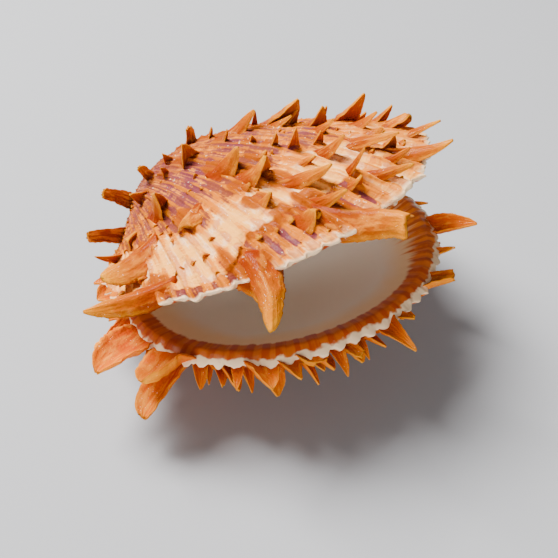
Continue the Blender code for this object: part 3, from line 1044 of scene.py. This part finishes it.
def points_of(spines: tuple[Spine, ...]) -> bpy.types.Mesh:
    """Points that carry the numbers of each spine.

    Args:
        spines: The spines to grow.

    Returns:
        A mesh of loose points.
    """
    mesh = bpy.data.meshes.new("spine_points")
    mesh.from_pydata([(0, 0, 0)] * len(spines), [], [])
    rows = {name: [] for name in SpineGrowth.NUMBERS}
    for spine in spines:
        for name, value in zip(("belly", "blunt", "taper", "flare", "round"),
                               spine.form.value):
            rows[name].append(value)
        for name in ("station", "growth", "length", "width", "bow"):
            rows[name].append(getattr(spine, name))
        rows["lift"].append(math.radians(spine.lift))
        rows["swing"].append(math.radians(spine.swing))
        # A smooth bend of two thirds ends where the solid's three straight steps do
        rows["curl"].append(math.radians(spine.curl) * 2 / 3)
    for name, values in rows.items():
        mesh.attributes.new(name, "FLOAT", "POINT").data.foreach_set("value", values)
    return mesh


@dataclass(frozen=True)
class Finish:
    """A finish of the shell, with its colours by the names that its formulas use."""

    name: str
    colours: dict[str, str]

    # What the surface and the bump are set to
    GLOSS = {}
    BUMP = {}

    def build(self) -> bpy.types.Material:
        """Wire the finish.

        Returns:
            The material.
        """
        material = bpy.data.materials.new(self.name)
        material.use_nodes = True
        surface = material.node_tree.nodes["Principled BSDF"]
        for name, value in self.GLOSS.items():
            surface.inputs[name].default_value = value
        colours = {name: srgb(code) for name, code in self.colours.items()}
        bench = Bench(material.node_tree, pitch=FOLDS / STATIONS, **colours)
        bench.wires["place"] = bench.add("ShaderNodeTexCoord").outputs["Object"]
        self.paint(bench)
        bump = bench.add("ShaderNodeBump", {"Height": bench.wires["height"], **self.BUMP})
        bench.tree.links.new(bench.wires["tone"], surface.inputs["Base Color"])
        bench.tree.links.new(bump.outputs[0], surface.inputs["Normal"])
        return material

    def paint(self, bench: Bench) -> None:
        """Wire the finish's tone and height."""
        raise NotImplementedError


@dataclass(frozen=True)
class SpineShell(Finish):
    """Outer calcite layer of the spines: dense, pigmented orange, satin from handling."""

    stops: tuple[tuple[float, str], ...]

    GLOSS = {
        "Roughness": 0.42, "Specular IOR Level": 0.02, "Specular Tint": srgb("FFA050"),
        "Subsurface Weight": 0.2, "Subsurface Radius": (1.0, 0.35, 0.1),
        "Subsurface Scale": 0.001, "Coat Weight": 0.04, "Coat Roughness": 0.10,
    }
    BUMP = {"Strength": 0.7, "Distance": 0.0003}

    def paint(self, bench: Bench) -> None:
        """Wire root to tip with painted shade at the root, the underside's painted shade, golden
        edges with a painted highlight, striae, and limy specks with painted glints.

        Args:
            bench: The material's tree.
        """
        # From root to tip the colour runs from dark red-orange to golden; the dark root is partly
        # pigment and partly painted shade where the spine meets the shell. Broken spines get
        # lighter roots, painted light for the shade they stand in, and less golden ends
        bench.let("""
            # Pigment clouds about 3 mm across
            cloud = noise(place, 330, 4)
            along = (run + 0.4 * blunt * (0.5 - run) + (cloud - 0.5) * 0.35
                     + (chance - 0.5) * 0.15)
            """)
        ramp = bench.add("ShaderNodeValToRGB", {0: bench.wires["along"]})
        bands = ramp.color_ramp.elements
        for element, (at, code) in zip(bands, self.stops):
            element.position, element.color = at, srgb(code)
        for at, code in self.stops[2:]:
            bands.new(at).color = srgb(code)
        bench.wires["skin"] = ramp.outputs[0]
        # Both edges are worn golden, and the gold is partly a painted highlight
        # Broken spines are paler, where their skin has gone in streaks; the pale streaks are also
        # painted light on the broken spines that stand in shade
        # The guttered underside is painted shade: darker and redder than the back
        # White specks under half a millimetre across, in patches: partly a limy crust and partly
        # painted glints
        bench.let("""
            # The gutter below is deeper red than the back
            tone = mix(smooth(0 - sin(around * tau), 0, 0.8) * 0.6, skin, gutter)
            # Both edges are worn golden
            flank = (smooth(abs(cos(around * tau)) + (cloud - 0.5) * 0.3, 0.8, 1) * 0.6
                     * smooth(run, 0.1, 0.5))
            tone = mix(flank, tone, edge)
            # Striae well under a millimetre apart run along each spine, some of them bleached
            stria = noise(vec(around * 20, run * 3, chance * 50), 1, 3)
            wear = stria + (cloud - 0.5) * 0.5
            tone = mix(smooth(wear, 0.54, 0.68) * 0.35, tone, worn)
            # Broken spines are paler, where their skin has gone in streaks
            tone = mix(smooth(wear, 0.42, 0.6) * blunt * 0.7 * smooth(run, 0, 0.15), tone, bare)
            # White specks of lime under half a millimetre across, in patches
            speck = noise(place, 2600, 2)
            tone = mix(smooth(speck, 0.67, 0.72) * smooth(cloud, 0.50, 0.60) * 0.6, tone, lime)
            # Growth fibres about half a millimetre wide, drawn a little coarser than they are
            height = stria * 2 + noise(place, 1800, 3)
            """)


@dataclass(frozen=True)
class RibbedShell(Finish):
    """Outer layer between the spines: orange ribs, purple furrows and cream growth bands.

    It is calcite laid down in thin sheets, so it is satin, and its colours lie in streaks along
    the ribs, crossed by growth lines.
    """

    bleach: float

    GLOSS = {
        "Roughness": 0.48, "Specular IOR Level": 0.02, "Specular Tint": srgb("FFC070"),
        "Subsurface Weight": 0.1, "Subsurface Radius": (1.0, 0.5, 0.25),
        "Subsurface Scale": 0.001, "Coat Weight": 0.04, "Coat Roughness": 0.12,
    }
    BUMP = {"Strength": 0.8, "Distance": 0.00025}

    def paint(self, bench: Bench) -> None:
        """Wire ribs and furrows, cream bands, golden flushes, painted shade round the spines and
        limy flecks with painted glints.

        Args:
            bench: The material's tree.
        """
        bench.wires["bleach"] = self.bleach
        # Flecks under a millimetre across: partly a limy crust and partly painted glints
        # Round the spines the shell is as orange as they are; its deep red-orange there is partly
        # painted shade at their bases
        # Spines colour the shell round their bases, and painted shade darkens it there; less on
        # the cream right and on the old edge
        bench.let("""
            fold = station * pitch
            # Pigment clouds 11 mm, 4 mm and 1 mm across
            cloud = noise(place, 90, 4)
            patch = noise(place, 250, 3)
            speck = noise(place, 1500, 2)
            # Spines colour the shell round their roots, less on the cream right and on the
            # old edge
            right = smooth(station, 16.5, 19) * smooth(growth, 0.6, 0.7)
            halo = (halo * (1 - 0.6 * right)
                    * (1 - 0.7 * smooth(growth, 0.78, 0.84) * (1 - smooth(stage, -0.01, 0.01))
                       * smooth(station, 12, 12.5) * (1 - smooth(station, 14, 15))))
            # Streaks run along the ribs, about four to a fold, and growth lines across them
            streak = noise(vec(fold * 4, growth * 9, 0), 1, 3)
            line = noise(vec(fold * 0.8, growth * 80 + cloud * 5, 9), 1, 3)
            own = ripple(floor(fold + 0.5) * 0.77, 1, 1)
            ridge = cos(fold * tau)
            # Orange on the ridges and purple-brown in the furrows, clearest on the last stage
            late = (smooth(stage, 0, 0.01) * smooth(growth, 0.84, 0.88)
                    * (1 - smooth(station, 18, 20)))
            stripe = smooth(ridge * (0.8 + 1.2 * late) + (streak - 0.5) * 3.2
                            + (patch - 0.5) * 1.6 + (own - 0.5) * 1.2 - 0.55 + halo,
                            -0.3, 0.25)
            tone = mix(stripe, mix(smooth(cloud, 0.4, 0.6), furrow, shade), orange)
            # Cream where the animal laid down no pigment: in flecks and lines all over, in a
            # wide band before the edge of the last stage, and along the margin
            band = max(smooth(stage + (cloud - 0.5) * 0.14 + 0.12 * smooth(station, 12.5, 9),
                              -0.22, -0.09)
                       * (1 - 0.85 * smooth(stage, -0.005, 0.01)
                          * (1 - smooth(stage, 0.07, 0.12))),
                       smooth(growth + (cloud - 0.5) * 0.3, 0.68, 0.80)
                       * smooth(station, 16.5, 19) * 0.75)
            bare = min(max(bleach * (band * 1.1 + 0.14) + (streak - 0.5) * 1.5
                           + (patch - 0.5) * 1.4 + (line - 0.5) * 0.8
                           - 0.35 * smooth(ridge, 0.2, 0.9) - 0.8 * halo
                           - 0.6 * late * smooth(0 - ridge, 0.1, 0.7), 0), 1)
            # Thin pigment is golden, and none is cream
            tone = mix(smooth(bare, 0.05, 0.4), tone, golden)
            blotch = patch + (streak - 0.5) * 0.5
            tone = mix(smooth(bare, 0.45, 0.9), tone,
                       mix(smooth(blotch, 0.46, 0.66), honey, cream))
            # Yellow-orange flushes lie at the edges of the cream
            tone = mix(smooth(blotch + 0.09 * ridge, 0.49, 0.62) * smooth(growth, 0.5, 0.7)
                       * 0.75, tone, flush)
            tone = mix((1 - smooth(growth, 0.25, 0.6)) * 0.5, tone, beak)
            # Round the spines the shell is as orange as they are
            tone = mix(smooth(halo + (patch - 0.5) * 0.5, 0.6, 0.85) * 0.8, tone, roots)
            # Flecks of lime under a millimetre across
            tone = mix(smooth(speck + (streak - 0.5) * 0.4, 0.69, 0.76) * 0.6, tone, lime)
            # The margin itself is cream
            tone = mix(smooth(growth, 0.988, 0.998) * 0.85, tone, margin)
            # Growth lines under a millimetre apart
            height = line * 2 + streak + speck * 0.6
            """)


@dataclass(frozen=True)
class PorcelainLining(Finish):
    """Lip and hollow: cream lip, streaked orange border and white porcelain lining.

    It is dense shell polished by the animal's mantle, so it is smooth, with a soft gloss.
    """

    GLOSS = {"Roughness": 0.4, "Specular IOR Level": 0.3, "Coat Weight": 0.08,
             "Coat Roughness": 0.2}
    BUMP = {"Strength": 0.1, "Distance": 0.0001}

    def paint(self, bench: Bench) -> None:
        """Wire the lip, the orange border and the lining.

        Args:
            bench: The material's tree.
        """
        bench.let("""
            # Clouds 12 mm and mottles 2 mm across
            cloud = noise(place, 80, 3)
            mottle = noise(place, 520, 1.5)
            # Streaks run in from the rim, about two to a fold
            streak = ripple(station * 3 + inset * 0.03, 1, 3)
            wave = cos(station * pitch * tau)
            # The border ends sharply at the front and frays out on the +X side
            fray = smooth(station, 19, 25) * (1 - smooth(station, 30, 36))
            past_lip = smooth(inset - 0.2 * wave + (mottle - 0.5) * 1.5, 1.15, 1.5)
            border = past_lip * (1 - smooth(inset + (streak - 0.5) * (1 + 9 * fray)
                                            - wave * 1.4 * fray + (mottle - 0.5) * 0.8,
                                            5.3, 6.1 + 5.5 * fray))
            tint = (smooth(streak + wave * 0.12 + (mottle - 0.5) * 0.5, 0.34, 0.62)
                    * (0.35 + 0.35 * fray) + 0.3 * fray)
            # Porcelain, greyish in the middle, yellowish beside the border
            warm = 1 - smooth(inset + (cloud - 0.5) * 8, 7, 15)
            lining = mix(1 - past_lip, mix(warm, porcelain, ivory), lip)
            tone = mix(border, lining, mix(tint, rust, orange))
            height = noise(place, 400, 2)
            """)


@dataclass
class Shell:
    """Both valves with their spines and scales."""

    spine_columns: int = 25
    spine_rows: int = 36
    scale_columns: int = 7
    scale_rows: int = 6
    scales_along: int = 13
    first_scale: float = 0.2
    scale_share: float = 0.42

    def build(self) -> None:
        """Grow and dress both valves."""
        rule = GrowthRule()
        trees = [grown.tree for grown in (ValveSurface(rule), SpineGrowth(rule), ScaleRows())]
        lining = PorcelainLining("porcelain lining of the valve", {
            "porcelain": "E4DACC", "ivory": "E6C698", "lip": "F4D2A6", "rust": "AA3C00",
            "orange": "EC8208"}).build()
        between = {"golden": "D87A1C", "honey": "F2A64C", "cream": "F6CCA0", "flush": "CC6C00",
                   "beak": "843E2C", "roots": "8E3C00", "lime": "FFE8CC", "margin": "FFDDB0"}
        streaks = {"bare": "DC8426", "lime": "F4E6D6"}
        upper = (
            RibbedShell("ribbed outer layer of the upper valve", {
                "orange": "AC5800", "furrow": "7E3C28", "shade": "72343A", **between}, 1.0),
            SpineShell("satin orange calcite of the upper spines", {
                "gutter": "7E2200", "edge": "D28400", "worn": "D68420", **streaks},
                # Root to tip; the dark stops at the root are partly painted shade
                ((0.0, "7E2400"), (0.30, "903600"), (0.60, "AA5200"), (0.85, "C87400"),
                 (1.0, "E09610"))))
        lower = (
            RibbedShell("ribbed outer layer of the lower valve", {
                "orange": "CC5000", "furrow": "8A3418", "shade": "7A2C18", **between}, 0.1),
            # The lower spines are lighter and redder than the upper ones: painted light and
            # painted warm bounce for the shade they hang in under the margin
            SpineShell("satin orange calcite of the lower spines", {
                "gutter": "AA3600", "edge": "EC8C00", "worn": "F09C30", **streaks},
                ((0.0, "AC3800"), (0.22, "C44C00"), (0.55, "DA6A00"), (0.82, "EC8800"),
                 (1.0, "FAA81C"))))
        for valve, spines, finishes in ((UPPER, UPPER_SPINES, upper),
                                        (LOWER, LOWER_SPINES, lower)):
            outer, spiny = (finish.build() for finish in finishes)
            self._valve(valve, spines, trees, {"outer_finish": outer, "inner_finish": lining},
                        {"finish": spiny})

    def _valve(self, valve: ValveSizes, spines: tuple[Spine, ...],
               trees: list[bpy.types.NodeTree], wall_finish: dict[str, bpy.types.Material],
               spine_finish: dict[str, bpy.types.Material]) -> None:
        """Grow and dress one valve.

        Args:
            valve: Its sizes.
            spines: Its spines.
            trees: What grows its surface, its spines and the points of its scales.
            wall_finish: Materials of its outside and its hollow, by input name.
            spine_finish: Material of its spines and scales, by input name.
        """
        surface, growth, rows = trees
        sizes, margin = ({name: getattr(valve, name) for name in names}
                         for names in (GrowthRule.SIZES, ValveSurface.SIZES))
        seed = int(valve.side)
        pieces = (
            ("wall", points_of(spines), [(surface, {**sizes, **margin, **wall_finish})]),
            ("spines", points_of(spines), [(growth, {
                **sizes, **spine_finish, "columns": self.spine_columns,
                "rows": self.spine_rows, "seed": seed + 3})]),
            ("scales", bpy.data.meshes.new("scales"), [
                (rows, {"rows": self.scales_along, "first": self.first_scale,
                        "share": self.scale_share, "longest": valve.longest_scale,
                        "seed": seed + 5}),
                (growth, {**sizes, **spine_finish, "columns": self.scale_columns,
                          "rows": self.scale_rows, "seed": seed + 9})]),
        )
        wall, crown, scales = (
            settle(f"{valve.node}_{kind}", start, growths, valve.placing())
            for kind, start, growths in pieces)
        for piece in (wall, crown, scales):
            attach(piece, "root")
            LOG.info("%s: %d faces", piece.name, len(piece.data.polygons))
        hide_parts(valve.node)


@dataclass(frozen=True)
class Lamp:
    """A square lamp that points at the shell: place and size in metres, power in watts."""

    name: str
    place: tuple[float, float, float]
    size: float
    power: float


@dataclass(frozen=True)
class Studio:
    """Pale floor, soft light and the camera."""

    target: tuple[float, float, float] = (3.98, -14.42, 8.0)
    azimuth: float = -56.0
    elevation: float = 40.5
    distance: float = 217.0
    view_angle: float = 38.0
    nearest: float = 0.005
    floor_size: float = 3.0
    floor_colour: str = "9E9EA0"
    floor_roughness: float = 0.85
    sky_colour: str = "E4E6EA"
    sky_strength: float = 0.25
    lamps: tuple[Lamp, ...] = (
        Lamp("window", (0.00, 0.50, 0.90), 0.50, 42.0),
        Lamp("low fill", (-0.80, -0.45, 0.14), 0.60, 11.0),
    )

    def build(self) -> None:
        """Lay the floor, hang the lights and aim the camera."""
        self._floor()
        self._lights()
        self._camera()

    def _floor(self) -> None:
        """Lay a plain pale floor, of plaster: matt and even."""
        half = self.floor_size / 2
        mesh = bpy.data.meshes.new("floor")
        corners = [(-half, -half, 0), (half, -half, 0), (half, half, 0), (-half, half, 0)]
        mesh.from_pydata(corners, [], [(0, 1, 2, 3)])
        floor = bpy.data.objects.new("floor", mesh)
        bpy.context.collection.objects.link(floor)
        material = bpy.data.materials.new("matt pale plaster floor")
        material.use_nodes = True
        surface = material.node_tree.nodes["Principled BSDF"]
        surface.inputs["Base Color"].default_value = srgb(self.floor_colour)
        surface.inputs["Roughness"].default_value = self.floor_roughness
        mesh.materials.append(material)

    def _lights(self) -> None:
        """Hang a soft window high up behind the shell, a low fill at the left and a weak sky."""
        world = bpy.context.scene.world or bpy.data.worlds.new("sky")
        bpy.context.scene.world = world
        world.use_nodes = True
        sky = world.node_tree.nodes["Background"]
        sky.inputs["Color"].default_value = srgb(self.sky_colour)
        sky.inputs["Strength"].default_value = self.sky_strength
        for lamp in self.lamps:
            light = bpy.data.lights.new(lamp.name, "AREA")
            light.size = lamp.size
            light.energy = lamp.power
            thing = bpy.data.objects.new(lamp.name, light)
            thing.location = lamp.place
            thing.rotation_euler = (-Vector(lamp.place)).to_track_quat("-Z", "Y").to_euler()
            bpy.context.collection.objects.link(thing)

    def _camera(self) -> None:
        """Aim the camera from the photograph's viewing angle."""
        lens = bpy.data.cameras.new("camera")
        lens.angle = math.radians(self.view_angle)
        lens.clip_start = self.nearest
        camera = bpy.data.objects.new("camera", lens)
        azimuth, elevation = math.radians(self.azimuth), math.radians(self.elevation)
        back = Vector((math.sin(azimuth) * math.cos(elevation),
                       -math.cos(azimuth) * math.cos(elevation), math.sin(elevation)))
        camera.location = (Vector(self.target) + back * self.distance) * MM
        camera.rotation_euler = (-back).to_track_quat("-Z", "Y").to_euler()
        bpy.context.collection.objects.link(camera)
        bpy.context.scene.camera = camera


def main() -> None:
    """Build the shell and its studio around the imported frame."""
    logging.basicConfig(level=logging.INFO, format="%(name)s: %(message)s")
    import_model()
    Shell().build()
    Studio().build()


if __name__ == "__main__":
    main()
